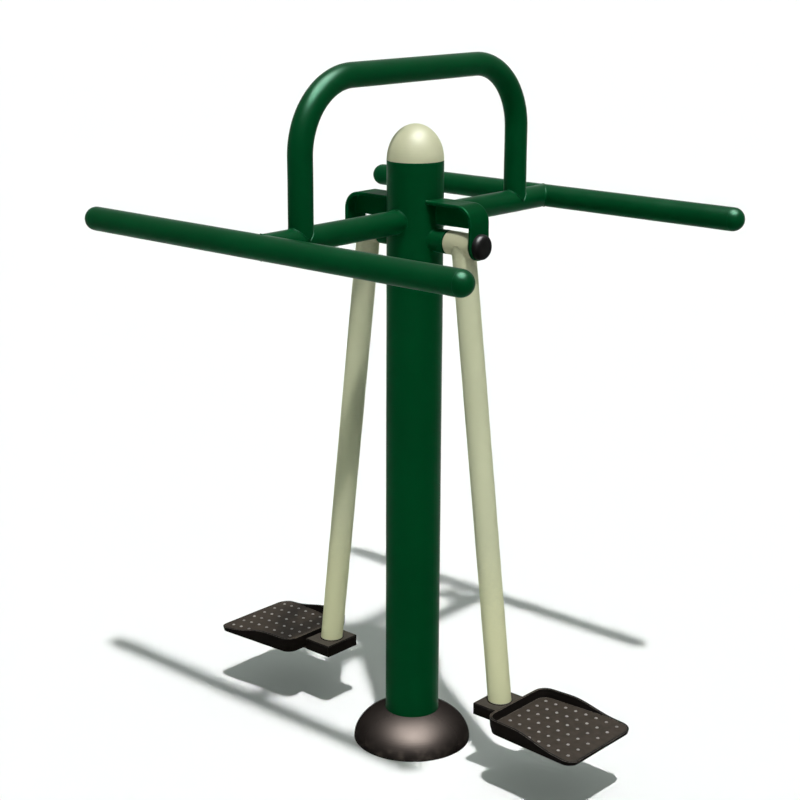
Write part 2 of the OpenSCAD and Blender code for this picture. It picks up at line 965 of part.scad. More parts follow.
module footplate_bolts() {
    seat = carrier_t + bolt_washer_t;
    color(steel)
    at_bolts()
        translate([0, 0, -seat])
        union() {
            hex_head(bolt_head_af, bolt_head_h);
            translate([0, 0, -over]) cylinder(d = bolt_d, h = bolt_len + bolt_washer_t + over);
        }
}

module footplate_washers() {
    color(steel)
    at_bolts()
        translate([0, 0, -carrier_t - bolt_washer_t])
        ring(bolt_washer_d / 2, bolt_d / 2 + plug_fit, bolt_washer_t);
}

// The front handlebar and its ends are the rear ones turned half a turn about the post
module turned() {
    rotate([0, 0, 180]) children();
}

base_flange();
base_gussets();
base_cover();
post();
post_cap();
turned() cross_arm();  // front_cross_arm
cross_arm();  // rear_cross_arm
turned() handlebar();  // front_handlebar
handlebar();  // rear_handlebar
turned() bar_ends();  // front_bar_ends
bar_ends();  // rear_bar_ends
upper_handle();
on_left() bracket_strip();  // left_bracket_strip
bracket_strip();  // right_bracket_strip
on_left() bracket_web();  // left_bracket_web
bracket_web();  // right_bracket_web
on_left() axle_boss();  // left_axle_boss
axle_boss();  // right_axle_boss
pivot_axle();
axle_end_washers();
axle_end_screws();
on_left() shaft_cap();  // left_shaft_cap
shaft_cap();  // right_shaft_cap
on_left() axle_spacers();  // left_axle_spacers
axle_spacers();  // right_axle_spacers
on_left() bearing_inner_rings();  // left_bearing_inner_rings
bearing_inner_rings();  // right_bearing_inner_rings
on_left() hub();  // left_hub
hub();  // right_hub
on_left() bearing_outer_rings();  // left_bearing_outer_rings
bearing_outer_rings();  // right_bearing_outer_rings
on_left() bearing_balls();  // left_bearing_balls
bearing_balls();  // right_bearing_balls
on_left() bearing_cages();  // left_bearing_cages
bearing_cages();  // right_bearing_cages
on_left() bearing_seals();  // left_bearing_seals
bearing_seals();  // right_bearing_seals
on_left() hub_circlips();  // left_hub_circlips
hub_circlips();  // right_hub_circlips
on_left() leg_tube();  // left_leg_tube
leg_tube();  // right_leg_tube
on_left() foot_block();  // left_foot_block
foot_block();  // right_foot_block
on_left() carrier_plate();  // left_carrier_plate
carrier_plate();  // right_carrier_plate
on_left() footplate();  // left_footplate
footplate();  // right_footplate
on_left() footplate_bolts();  // left_footplate_bolts
footplate_bolts();  // right_footplate_bolts
on_left() footplate_washers();  // left_footplate_washers
footplate_washers();  // right_footplate_washers
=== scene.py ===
import math

import bmesh
import bpy
from mathutils import Matrix, Vector


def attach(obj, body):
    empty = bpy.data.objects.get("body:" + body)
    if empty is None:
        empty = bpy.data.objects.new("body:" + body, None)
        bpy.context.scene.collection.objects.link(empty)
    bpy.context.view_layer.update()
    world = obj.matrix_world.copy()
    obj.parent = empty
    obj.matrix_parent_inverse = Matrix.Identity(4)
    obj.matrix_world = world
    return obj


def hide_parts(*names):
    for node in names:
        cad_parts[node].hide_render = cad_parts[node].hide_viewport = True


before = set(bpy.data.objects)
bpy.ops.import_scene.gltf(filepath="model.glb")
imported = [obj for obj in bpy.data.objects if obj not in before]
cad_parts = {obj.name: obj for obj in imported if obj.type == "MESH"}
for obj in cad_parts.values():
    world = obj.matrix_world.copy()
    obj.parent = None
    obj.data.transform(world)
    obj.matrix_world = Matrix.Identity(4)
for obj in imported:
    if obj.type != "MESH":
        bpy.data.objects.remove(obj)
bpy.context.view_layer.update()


# Viewpoint: a standing photographer, 3.3 m from the post, looks a little down at the trainer.
# The place, the turns and the lens come from a camera fitted to the photograph.
# All distances in this file are metres.
view_place = Vector((2.17912, -2.50804, 1.68699))
view_heading, view_fall, view_tilt = (math.radians(a) for a in (42.0365, 15.6476, 0.0873))
frame_px = 800
lens_px = 1679.266
centre_px = (384.263, 399.728)
sensor_mm = 36

ahead = Vector((
    -math.sin(view_heading) * math.cos(view_fall),
    math.cos(view_heading) * math.cos(view_fall),
    -math.sin(view_fall),
))
level_right = Vector((math.cos(view_heading), math.sin(view_heading), 0))
level_up = level_right.cross(ahead)
right = math.cos(view_tilt) * level_right + math.sin(view_tilt) * level_up
up = right.cross(ahead)

lens = bpy.data.cameras.new("lens")
lens.sensor_width = sensor_mm
lens.lens = lens_px * sensor_mm / frame_px
lens.shift_x = (frame_px / 2 - centre_px[0]) / frame_px
lens.shift_y = (centre_px[1] - frame_px / 2) / frame_px
camera = bpy.data.objects.new("camera", lens)
bpy.context.scene.collection.objects.link(camera)
aim = Matrix((right, up, -ahead)).transposed().to_4x4()
camera.matrix_world = Matrix.Translation(view_place) @ aim
bpy.context.scene.camera = camera


# Ground: the pale, smooth slab that the trainer stands on, wide enough to reach the horizon. It
# throws back less light than it shows, so the undersides stay dark. Its finish is the first, so
# the tools that every later finish uses are defined here.
ground_size = 240
ground_white = (0.905, 0.90, 0.90, 1)
ground_grey = (0.55, 0.55, 0.54, 1)

# The mix node's sockets share their names, so its colours are told apart by number
mix_low, mix_high, mix_result = 6, 7, 2


def set_sockets(node, values):
    """Gives a node's sockets their values, or links them to signals."""
    for key, value in values.items():
        if isinstance(value, Signal):
            node.id_data.links.new(value.socket, node.inputs[key])
        else:
            node.inputs[key].default_value = value


class Signal:
    """One output of a node, so that a finish is written as sums of such outputs."""

    def __init__(self, socket):
        self.socket = socket

    def node(self, kind, sockets, out=0, **settings):
        """Adds a node to the same finish and returns one of its outputs."""
        made = self.socket.id_data.nodes.new(kind)
        for name, value in settings.items():
            setattr(made, name, value)
        set_sockets(made, sockets)
        return Signal(made.outputs[out])

    def sum(self, operation, *values):
        """The result of one operation on numbers and signals."""
        return self.node("ShaderNodeMath", dict(enumerate(values)), operation=operation)

    def __add__(self, other):
        return self.sum("ADD", self, other)

    def __sub__(self, other):
        return self.sum("SUBTRACT", self, other)

    def __rsub__(self, other):
        return self.sum("SUBTRACT", other, self)

    def __mul__(self, other):
        return self.sum("MULTIPLY", self, other)

    __radd__ = __add__
    __rmul__ = __mul__

    def ramp(self, low, high):
        """0 below one level, 1 above another, and a smooth rise between them."""
        return self.node(
            "ShaderNodeMapRange", {0: self, 1: low, 2: high}, interpolation_type="SMOOTHSTEP"
        )

    def blend(self, low, high):
        """One colour where the signal is 0 and another where it is 1."""
        colours = {0: self, mix_low: low, mix_high: high}
        return self.node("ShaderNodeMix", colours, out=mix_result, data_type="RGBA")

    def along(self, axis):
        """One coordinate of a place or a direction."""
        return self.node("ShaderNodeSeparateXYZ", {"Vector": self}, out=axis)

    def noise(self, scale, detail, stretch=None):
        """Cloudy noise over a place, with this many clouds a metre."""
        place = self
        if stretch:
            place = self.node("ShaderNodeMapping", {"Vector": self, "Scale": stretch})
        return self.node(
            "ShaderNodeTexNoise", {"Vector": place, "Scale": scale, "Detail": detail}
        )

    def bump(self, height, onto=None):
        """Surface relief of this many metres, on top of another relief if one is given."""
        sockets = {"Height": self, "Distance": height}
        if onto:
            sockets["Normal"] = onto
        return self.node("ShaderNodeBump", sockets)


def start_finish(name):
    """Returns a new finish, its shader, and the place on the piece as a signal."""
    made = bpy.data.materials.new(name)
    made.use_nodes = True
    shader = made.node_tree.nodes["Principled BSDF"]
    place = Signal(made.node_tree.nodes.new("ShaderNodeTexCoord").outputs["Object"])
    return made, shader, place


def seen_directly(ray):
    """1 for what the camera, a reflection or clear glass shows, 0 for bounced light."""
    seen = Signal(ray.outputs["Is Camera Ray"])
    for kind in ("Is Glossy Ray", "Is Transmission Ray"):
        seen = seen.sum("MAXIMUM", seen, Signal(ray.outputs[kind]))
    return seen


bpy.ops.object.select_all(action="DESELECT")
bpy.ops.mesh.primitive_plane_add(size=ground_size)
ground = bpy.context.object
ground.name = "ground"
slab, shader, place = start_finish("pale slab")
ray = slab.node_tree.nodes.new("ShaderNodeLightPath")
set_sockets(shader, {
    "Base Color": seen_directly(ray).blend(ground_grey, ground_white),
    "Roughness": 1.0,
    "Specular IOR Level": 0.0,
})
ground.data.materials.append(slab)


# Light: a small lamp high on the right throws the shadows to the back left. A broad lamp, a
# little higher, is seen only in the gloss, and an even sky, faintly green, fills the shadows.
# What the camera and the gloss see of the sky is full white.
lamp_from = Vector((0.385, -0.315, 1.131))
lamp_power = 2.9
lamp_width = math.radians(2.2)
gloss_from = Vector((0.22, -0.135, 1.2))
gloss_power = 170
gloss_width = math.radians(50)
sky_fill = 0.305
sky_white = (1, 1, 1, 1)
sky_shade = (0.88, 1.0, 0.92, 1)


def hang_lamp(name, power, width, towards):
    """A far lamp, seen from the trainer in this direction."""
    light = bpy.data.lights.new(name, "SUN")
    light.energy = power
    light.angle = width
    lamp = bpy.data.objects.new(name, light)
    bpy.context.scene.collection.objects.link(lamp)
    lamp.rotation_euler = towards.to_track_quat("Z", "Y").to_euler()
    return lamp


hang_lamp("high lamp", lamp_power, lamp_width, lamp_from)
gloss_lamp = hang_lamp("gloss lamp", gloss_power, gloss_width, gloss_from)
gloss_lamp.visible_diffuse = False

sky = bpy.data.worlds.new("sky")
bpy.context.scene.world = sky
sky.use_nodes = True
ray = sky.node_tree.nodes.new("ShaderNodeLightPath")
seen = seen_directly(ray)
set_sockets(sky.node_tree.nodes["Background"], {
    "Color": seen.blend(sky_shade, sky_white),
    "Strength": sky_fill + seen * (1 - sky_fill),
})
bpy.context.scene.view_settings.view_transform = "Standard"


# Base flange and its four gussets: flame-cut steel plate, welded to the foot of the post and
# hidden under the cover. They have the green powder coat of the whole frame.
green_light = (0.0, 0.050, 0.0130, 1)
green_deep = (0.0, 0.043, 0.0110, 1)
green_worn = (0.02, 0.10, 0.055, 1)
green_sheen = (0.38, 1.0, 0.68, 1)
green_roughness = 0.30
green_gloss = 0.019
edge_reach = 0.0012
edge_samples = 8
edge_levels = (0.01, 0.16)

# Powder coat: clouds, specks, rubbed streaks and orange peel, each by its clouds a metre
cloud_scale, speck_scale, rub_scale, peel_scale = 4, 160, 30, 700
rub_stretch = (1, 1, 0.25)
cloud_levels, thin_levels, rub_levels = (0.3, 0.7), (0.35, 0.6), (0.45, 0.8)
thin_share = 0.3
rub_roughness, speck_roughness = 0.08, 0.05
peel_height = 0.00003


def soften(place, reach):
    """Rounds the sharp edges in the gloss, and finds them: 1 on them, 0 beyond this reach."""
    rounded = place.node("ShaderNodeBevel", {"Radius": reach}, samples=edge_samples)
    flat = place.node("ShaderNodeNewGeometry", {}, out="Normal")
    match = place.node(
        "ShaderNodeVectorMath", {0: rounded, 1: flat}, out="Value", operation="DOT_PRODUCT"
    )
    return rounded, (1 - match).ramp(*edge_levels)


def powder_coat(
    name, light, deep, worn, sheen, roughness, gloss, reach=edge_reach, edge_shine=0, ends=None
):
    """Powder coat: slow changes of tone, fine orange peel, thin and paler on the edges.

    An edge shine lets a little bare steel glint there. Ends give the lower end and then the
    upper one a tone, with the heights between which it comes in and how far these waver.
    """
    made, shader, place = start_finish(name)
    clouds = place.noise(cloud_scale, detail=4).ramp(*cloud_levels)
    specks = place.noise(speck_scale, detail=4)
    rounded, edge = soften(place, reach)
    thin = edge * specks.ramp(*thin_levels) * thin_share
    patchy_mask = place.noise(rub_scale, detail=5, stretch=rub_stretch).ramp(*rub_levels)
    tone = clouds.blend(deep, light)
    if ends:
        height = place.along("Z")
        (low_tone, low_band, low_waver), (high_tone, high_band, high_waver) = ends
        tone = (height + specks * low_waver).ramp(*low_band).blend(low_tone, tone)
        tone = (height + specks * high_waver).ramp(*high_band).blend(tone, high_tone)
    set_sockets(shader, {
        "Base Color": thin.blend(tone, worn),
        "Roughness": roughness + patchy_mask * rub_roughness + specks * speck_roughness,
        "Specular IOR Level": gloss,
        "Specular Tint": sheen,
        "Normal": place.noise(peel_scale, detail=2).bump(peel_height, onto=rounded),
    })
    if edge_shine:
        set_sockets(shader, {"Metallic": edge * edge_shine})
    return made


def dress(finish, *nodes):
    """Gives CAD pieces their finish."""
    for name in nodes:
        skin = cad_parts[name].data.materials
        skin.clear()
        skin.append(finish)


green = powder_coat(
    "green coat", green_light, green_deep, green_worn, green_sheen, green_roughness, green_gloss
)
dress(green, "base_flange", "base_gussets")


# Base cover: a spun steel dome that slides down the post and hides the anchor bolts. Its dark
# brown metallic lacquer has a broad gloss, pinkish grey towards the light, and stays dark where
# it is seen edge on. Rain has splashed its foot.
cover_tone = (0.0043, 0.0036, 0.0032, 1)
cover_dust = (0.030, 0.025, 0.020, 1)
cover_rim = (0.12, 0.12, 0.12, 1)
cover_roughness = 0.46
splash_height = 0.03
splash_levels = (0.4, 0.7)
splash_share = 0.35
splash_roughness, spray_roughness = 0.2, 0.06
spin_stretch = (3, 3, 900)
spin_depth = 0.00004

cover_finish, shader, place = start_finish("brown cover")
foot = 1 - place.along("Z").ramp(0.0, splash_height)
splash = foot * place.noise(60, detail=5).ramp(*splash_levels) * splash_share
spray = place.noise(40, detail=4)
set_sockets(shader, {
    "Base Color": splash.blend(cover_tone, cover_dust),
    "Metallic": 1.0,
    "Roughness": cover_roughness + splash * splash_roughness + spray * spray_roughness,
    "Specular Tint": cover_rim,
    "Normal": place.noise(1, detail=2, stretch=spin_stretch).bump(spin_depth),
})
dress(cover_finish, "base_cover")


# Post: a 114 mm round steel tube, welded upright on the flange and powder coated green.
# Its coat is the same as the flange's.
dress(green, "post")


# Post cap: an egg-shaped plug moulded in cream plastic, pushed into the top of the post.
# Its skin is the fine satin of the mould, a little cloudy from the weather.
cap_light = (0.590, 0.585, 0.392, 1)
cap_deep = (0.548, 0.543, 0.359, 1)
cap_levels = (0.3, 0.7)
cap_gloss = 0.034
cap_roughness, grain_roughness = 0.44, 0.1
grain_depth = 0.00005

cap_finish, shader, place = start_finish("cream plastic")
grain = place.noise(900, detail=3)
set_sockets(shader, {
    "Base Color": place.noise(14, detail=4).ramp(*cap_levels).blend(cap_deep, cap_light),
    "Roughness": cap_roughness + grain * grain_roughness,
    "Specular IOR Level": cap_gloss,
    "Normal": grain.bump(grain_depth),
})
dress(cap_finish, "post_cap")


# Cross arms: two short tubes, coped to the post and to the handlebars, and welded to both.
# A weld bead lies round each end, with the small ripples that the weld pool leaves.
post_r = 0.057
bar_r = 0.024
bar_z = 1.131
bar_y = 0.426
bead_r = 0.0016
bead_sides, bead_steps = 8, 144
bead_crease = math.radians(60)
ripple_step = 0.0035
ripple_share = 0.12
front_and_rear = ((-1, "front"), (1, "rear"))


def on_tube(axis, radius):
    """How far out a weld lies from the axis of the tube that it is laid on."""
    def reach(point, out):
        slope = out.dot(axis)
        flat = point.dot(axis)
        square = 1 - slope ** 2
        half = -flat * slope
        rest = point.length_squared - flat ** 2 - radius ** 2
        return (-half + math.sqrt(max(0, half ** 2 - square * rest))) / square
    return reach


def on_face(normal):
    """How far out a weld lies on a flat face through the tube's end."""
    def reach(point, out):
        return -point.dot(normal) / out.dot(normal)
    return reach


def finish_bead(bead, body, finish):
    """Smooths and paints a bead, which moves with this body."""
    bpy.ops.object.shade_smooth_by_angle(angle=bead_crease)
    bead.data.materials.append(finish)
    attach(bead, body)


def weld(name, body, finish, radius, centre, out, reach, bead_r=bead_r):
    """Lays a bead round a tube: a ring, settled on what the tube meets, with its ripples."""
    bpy.ops.object.select_all(action="DESELECT")
    bpy.ops.mesh.primitive_torus_add(
        major_radius=radius, minor_radius=bead_r,
        major_segments=bead_steps, minor_segments=bead_sides,
    )
    bead = bpy.context.object
    bead.name = name
    turn = out.to_track_quat("Z", "Y").to_matrix()
    ripples = round(2 * math.pi * radius / ripple_step)
    for vertex in bead.data.vertices:
        angle = math.atan2(vertex.co.y, vertex.co.x)
        ring = radius * Vector((math.cos(angle), math.sin(angle), 0))
        swell = 1 + ripple_share * math.sin(ripples * angle)
        on_ring = turn @ ring
        settled = on_ring + reach(on_ring, out) * out
        vertex.co = Vector(centre) + settled + turn @ (swell * (vertex.co - ring))
    finish_bead(bead, body, finish)


dress(green, "front_cross_arm", "rear_cross_arm")
for side, name in front_and_rear:
    weld(
        f"{name}_arm_post_weld", "frame", green, bar_r,
        (0, 0, bar_z), Vector((0, side, 0)), on_tube(Vector((0, 0, 1)), post_r),
    )
    weld(
        f"{name}_arm_bar_weld", "frame", green, bar_r,
        (0, side * bar_y, bar_z), Vector((0, -side, 0)), on_tube(Vector((1, 0, 0)), bar_r),
    )


# Handlebars: two long 48 mm tubes, held at hip height by the cross arms, with a round end
# pressed into each mouth. Both have the frame's green coat.
dress(green, "front_handlebar", "rear_handlebar", "front_bar_ends", "rear_bar_ends")


# Upper handle: one 48 mm tube bent to an upside-down U. Both feet are coped to stand on the
# cross arms and are welded there.
handle_y = 0.3225
dress(green, "upper_handle")
for side, name in front_and_rear:
    weld(
        f"{name}_handle_foot_weld", "frame", green, bar_r,
        (0, side * handle_y, bar_z), Vector((0, 0, 1)), on_tube(Vector((0, 1, 0)), bar_r),
    )


# Axle bosses: thick stubs welded to the post on the pivot axis; the axle runs through them.
# A bead closes the joint with the post.
pivot_z = 1.095
boss_r = 0.0235
left_and_right = ((-1, "left"), (1, "right"))
dress(green, "left_axle_boss", "right_axle_boss")
for side, name in left_and_right:
    weld(
        f"{name}_boss_weld", "frame", green, boss_r,
        (0, 0, pivot_z), Vector((side, 0, 0)), on_tube(Vector((0, 0, 1)), post_r),
    )


# Brackets: a flat bar runs out from the post, bends down and ends round about the axle, with
# an upright web in its corner. Beads lie along the post and along both sides of the web, and
# the bar's rolled edges glint through the coat.
strip_half = 0.0275
strip_top = 1.175
strip_t = 0.006
strip_x = 0.160
strip_bend = 0.030
web_half = 0.004
web_foot = 1.128
fillet_r = bead_r * 0.8
corner_steps, bend_steps = 6, 12
quarter_turn = math.radians(-90)
merge_reach = 0.00002
rolled_reach = 0.0045
rolled_roughness = 0.34
rolled_gloss = 0.005
rolled_shine = 0.045

rolled = powder_coat(
    "green coat on rolled bar", green_light, green_deep, green_worn, green_sheen,
    rolled_roughness, rolled_gloss, rolled_reach, rolled_shine,
)
for side in ("left", "right"):
    dress(rolled, f"{side}_bracket_strip", f"{side}_bracket_web")


def strip_bead(name, side, level):
    """A short bead across the flat bar, round the post: a ring cut off at the bar's edges."""
    bpy.ops.object.select_all(action="DESELECT")
    bpy.ops.mesh.primitive_torus_add(
        major_radius=post_r, minor_radius=bead_r,
        major_segments=bead_steps, minor_segments=bead_sides, location=(0, 0, level),
    )
    bead = bpy.context.object
    bead.name = name
    bpy.ops.object.transform_apply(location=True)
    bpy.ops.object.mode_set(mode="EDIT")
    cuts = (((0, 1, 0), strip_half), ((0, -1, 0), strip_half), ((-side, 0, 0), 0))
    for normal, distance in cuts:
        bpy.ops.mesh.select_all(action="SELECT")
        bpy.ops.mesh.bisect(
            plane_co=distance * Vector(normal), plane_no=normal, use_fill=True, clear_outer=True
        )
    bpy.ops.object.mode_set(mode="OBJECT")
    finish_bead(bead, "frame", green)


def run(x, z):
    """Extrudes the end of a bead by this much outwards and upwards."""
    bpy.ops.mesh.extrude_region_move(TRANSFORM_OT_translate={"value": (x, 0, z)})


def turn_down(steps, centre):
    """Spins the end of a bead by a quarter turn about this centre."""
    bpy.ops.mesh.spin(steps=steps, angle=quarter_turn, center=centre, axis=(0, 1, 0))


def web_bead(name, side, face):
    """The bead along one side of the web: up the post, out under the bar, down in its bend."""
    y = face * web_half
    inner_top = strip_top - strip_t
    start = math.sqrt(post_r ** 2 - web_half ** 2)
    bend = strip_x - strip_bend
    bpy.ops.object.select_all(action="DESELECT")
    bpy.ops.mesh.primitive_circle_add(
        vertices=bead_sides, radius=fillet_r, fill_type="NGON", location=(start, y, web_foot)
    )
    bead = bpy.context.object
    bead.name = name
    bpy.ops.object.transform_apply(location=True)
    bpy.ops.object.mode_set(mode="EDIT")
    bpy.ops.mesh.select_all(action="SELECT")
    run(0, inner_top - bead_r - web_foot)
    turn_down(corner_steps, (start + bead_r, y, inner_top - bead_r))
    run(bend - start - bead_r, 0)
    turn_down(bend_steps, (bend, y, inner_top - strip_bend))
    run(0, web_foot - inner_top + strip_bend)
    bpy.ops.mesh.select_all(action="SELECT")
    bpy.ops.mesh.remove_doubles(threshold=merge_reach)
    bpy.ops.mesh.normals_make_consistent(inside=False)
    bpy.ops.object.mode_set(mode="OBJECT")
    if side < 0:
        bead.data.transform(Matrix.Scale(-1, 4, (1, 0, 0)))
        bead.data.flip_normals()
    finish_bead(bead, "frame", green)


for side, name in left_and_right:
    strip_bead(f"{name}_strip_top_weld", side, strip_top)
    strip_bead(f"{name}_strip_under_weld", side, strip_top - strip_t)
    web_bead(f"{name}_web_front_weld", side, -1)
    web_bead(f"{name}_web_rear_weld", side, 1)


# Pivot axle, spacers, end washers and screws: turned steel, zinc plated, all inside the hubs
# and under the caps. The plating is pale and a little cloudy.
zinc_pale = (0.55, 0.56, 0.57, 1)
zinc_dull = (0.42, 0.43, 0.44, 1)
zinc_levels = (0.35, 0.7)
zinc_roughness, patch_roughness = 0.32, 0.15
zinc_grain = 0.00002

zinc, shader, place = start_finish("zinc plate")
patches = place.noise(90, detail=4).ramp(*zinc_levels)
set_sockets(shader, {
    "Base Color": patches.blend(zinc_pale, zinc_dull),
    "Metallic": 1.0,
    "Roughness": zinc_roughness + patches * patch_roughness,
    "Normal": place.noise(1500, detail=2).bump(zinc_grain),
})
dress(
    zinc, "pivot_axle", "axle_end_washers", "axle_end_screws",
    "left_axle_spacers", "right_axle_spacers",
)


# Shaft caps: glossy black plastic caps with a broad rounded shoulder, snapped over the end
# washers on both brackets. They replace the frame's plainer ones, and fine handling marks dull
# them. The bearings' cages are moulded in the same plastic.
cap_black = (0.0020, 0.0021, 0.0018, 1)
cap_grey = (0.0042, 0.0042, 0.0038, 1)
black_gloss = 0.026
mark_levels = (0.4, 0.75)
mark_share, rim_share = 0.5, 0.5
black_roughness, mark_roughness = 0.40, 0.08
mark_depth = 0.00001
cap_x = strip_x + strip_t
cap_r = 0.025
cap_rise = 0.0155
cap_shoulder = 0.010
cap_mouth_r = 0.0181
cap_mouth_depth = 0.0115
cap_sides, shoulder_steps = 96, 12
cap_crease = math.radians(40)
same_way = 0.99

black_plastic, shader, place = start_finish("black plastic")
marks = place.noise(140, detail=5).ramp(*mark_levels)
rounded, rim = soften(place, edge_reach)
set_sockets(shader, {
    "Base Color": (marks * mark_share + rim * rim_share).blend(cap_black, cap_grey),
    "Roughness": black_roughness + marks * mark_roughness,
    "Specular IOR Level": black_gloss,
    "Normal": place.noise(800, detail=2).bump(mark_depth, onto=rounded),
})
dress(black_plastic, "left_bearing_cages", "right_bearing_cages")


def select_faces(piece, direction):
    """Selects, in edit mode, only the faces that look in this direction."""
    bpy.ops.mesh.select_all(action="DESELECT")
    mesh = bmesh.from_edit_mesh(piece.data)
    for face in mesh.faces:
        if face.normal.dot(Vector(direction)) > same_way:
            face.select_set(True)
    bmesh.update_edit_mesh(piece.data)


for side, name in left_and_right:
    bpy.ops.object.select_all(action="DESELECT")
    bpy.ops.mesh.primitive_cylinder_add(
        vertices=cap_sides, radius=cap_r, depth=cap_rise, location=(0, 0, cap_rise / 2)
    )
    cap = bpy.context.object
    cap.name = f"{name}_domed_cap"
    bpy.ops.object.transform_apply(location=True)
    bpy.ops.object.mode_set(mode="EDIT")
    select_faces(cap, (0, 0, 1))
    bpy.ops.mesh.bevel(offset=cap_shoulder, segments=shoulder_steps, affect="EDGES")
    select_faces(cap, (0, 0, -1))
    bpy.ops.mesh.inset(thickness=cap_r - cap_mouth_r)
    bpy.ops.mesh.extrude_region_move(
        TRANSFORM_OT_translate={"value": (0, 0, cap_mouth_depth)}
    )
    bpy.ops.object.mode_set(mode="OBJECT")
    outwards = Matrix.Rotation(side * math.radians(90), 4, "Y")
    cap.data.transform(Matrix.Translation((side * cap_x, 0, pivot_z)) @ outwards)
    bpy.ops.object.shade_smooth_by_angle(angle=cap_crease)
    cap.data.materials.append(black_plastic)
    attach(cap, "frame")
    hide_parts(f"{name}_shaft_cap")


# Ball bearings: two in each hub, with ground and polished rings and balls, a black cage, and
# black rubber seals that close both faces. A spring clip holds each bearing in the hub.
race_bright = (0.62, 0.62, 0.63, 1)
race_oiled = (0.40, 0.38, 0.34, 1)
oil_levels = (0.4, 0.8)
race_roughness, oil_roughness = 0.14, 0.15
grinding_depth = 0.00001
seal_black = (0.012, 0.012, 0.012, 1)
seal_chalk = (0.035, 0.034, 0.033, 1)
chalk_levels = (0.45, 0.8)
rubber_roughness, chalk_roughness = 0.6, 0.25
rubber_depth = 0.00006

race, shader, place = start_finish("polished race")
oil = place.noise(60, detail=4).ramp(*oil_levels)
set_sockets(shader, {
    "Base Color": oil.blend(race_bright, race_oiled),
    "Metallic": 1.0,
    "Roughness": race_roughness + oil * oil_roughness,
    "Normal": place.noise(2500, detail=2).bump(grinding_depth),
})
rubber, shader, place = start_finish("seal rubber")
chalk = place.noise(220, detail=5).ramp(*chalk_levels)
set_sockets(shader, {
    "Base Color": chalk.blend(seal_black, seal_chalk),
    "Roughness": rubber_roughness + chalk * chalk_roughness,
    "Normal": place.noise(1200, detail=3).bump(rubber_depth),
})
for side in ("left", "right"):
    dress(
        race, f"{side}_bearing_inner_rings", f"{side}_bearing_outer_rings",
        f"{side}_bearing_balls",
    )
    dress(rubber, f"{side}_bearing_seals")
    dress(zinc, f"{side}_hub_circlips")


# Hubs and leg tubes: a short hub turns on the bearings, and a long 48 mm tube, coped and welded
# to it, leans outwards. Both have a cream powder coat, painted paler near the foot as painted
# light and darker at the pivot as painted shade from the brackets above.
cream_light = (0.600, 0.612, 0.412, 1)
cream_deep = (0.560, 0.574, 0.384, 1)
cream_worn = (0.62, 0.61, 0.44, 1)
# Painted light: the paler cream painted towards the foot of the leg
cream_painted_light = (0.700, 0.700, 0.435, 1)
# Painted shade: the darker cream painted at the pivot, under the brackets
cream_painted_shade = (0.42, 0.41, 0.275, 1)
cream_sheen = (1, 1, 1, 1)
cream_roughness = 0.42
cream_gloss = 0.018
# Heights where the painted light near the foot comes in, and how far it wavers
painted_light_band, painted_light_waver = (0.32, 0.58), 0.1
# Heights where the painted shade at the pivot comes in, and how far it wavers
painted_shade_band, painted_shade_waver = (1.05, 1.13), 0.05
leg_r = 0.024
hub_r = 0.0235
leg_x = 0.125
leg_lean = math.radians(6.97)

cream = powder_coat(
    "cream coat", cream_light, cream_deep, cream_worn, cream_sheen, cream_roughness, cream_gloss,
    ends=((cream_painted_light, painted_light_band, painted_light_waver), (cream_painted_shade, painted_shade_band, painted_shade_waver)),
)


def down_leg(side):
    """The way that a leg tube runs, from its hub to its foot."""
    return Vector((side * math.sin(leg_lean), 0, -math.cos(leg_lean)))


for side, name in left_and_right:
    dress(cream, f"{name}_hub", f"{name}_leg_tube")
    weld(
        f"{name}_hub_weld", f"{name}_leg", cream, leg_r,
        (side * leg_x, 0, pivot_z), down_leg(side), on_tube(Vector((1, 0, 0)), hub_r),
    )


# Foot blocks and carrier plates: a flat bar under the footplate carries a thick block, which
# the leg stands in. Both are painted the same dark brown; upward faces are painted lighter as a
# painted highlight from above, and pale edge patches are partly wear, partly a painted
# highlight.
brown_deep = (0.0045, 0.0034, 0.0024, 1)
# Painted highlight: the lighter brown that upward faces are painted
brown_painted_top_light = (0.058, 0.050, 0.040, 1)
# Pale edge colour: partly wear, partly a painted highlight along the edges
brown_worn_and_highlight = (0.16, 0.15, 0.12, 1)
grime_levels, chip_levels = (0.3, 0.75), (0.4, 0.6)
chip_and_highlight_share = 0.6
# Shares of the painted highlight on upward faces: even, and patchy with the grime noise
top_light_share, top_light_grime_share = 0.75, 0.25
brown_roughness, grime_roughness = 0.40, 0.15
brush_depth = 0.00008
brown_gloss = 0.010
upward_levels = (0.75, 0.97)
foot_top = 0.160
foot_x = leg_x + (pivot_z - foot_top) * math.tan(leg_lean)
foot_bead_r = 0.0018


def facing_up(place):
    """1 on faces that look up when the leg hangs straight, 0 on the upright ones."""
    surface = Signal(place.socket.node.outputs["Normal"])
    return surface.along("Z").ramp(*upward_levels)


brown, shader, place = start_finish("brown paint")
grime = place.noise(110, detail=5).ramp(*grime_levels)
rounded, edge = soften(place, edge_reach)
# Edges are painted paler in patches: partly wear, partly a painted highlight
chipped_and_highlit = edge * place.noise(260, detail=4).ramp(*chip_levels) * chip_and_highlight_share
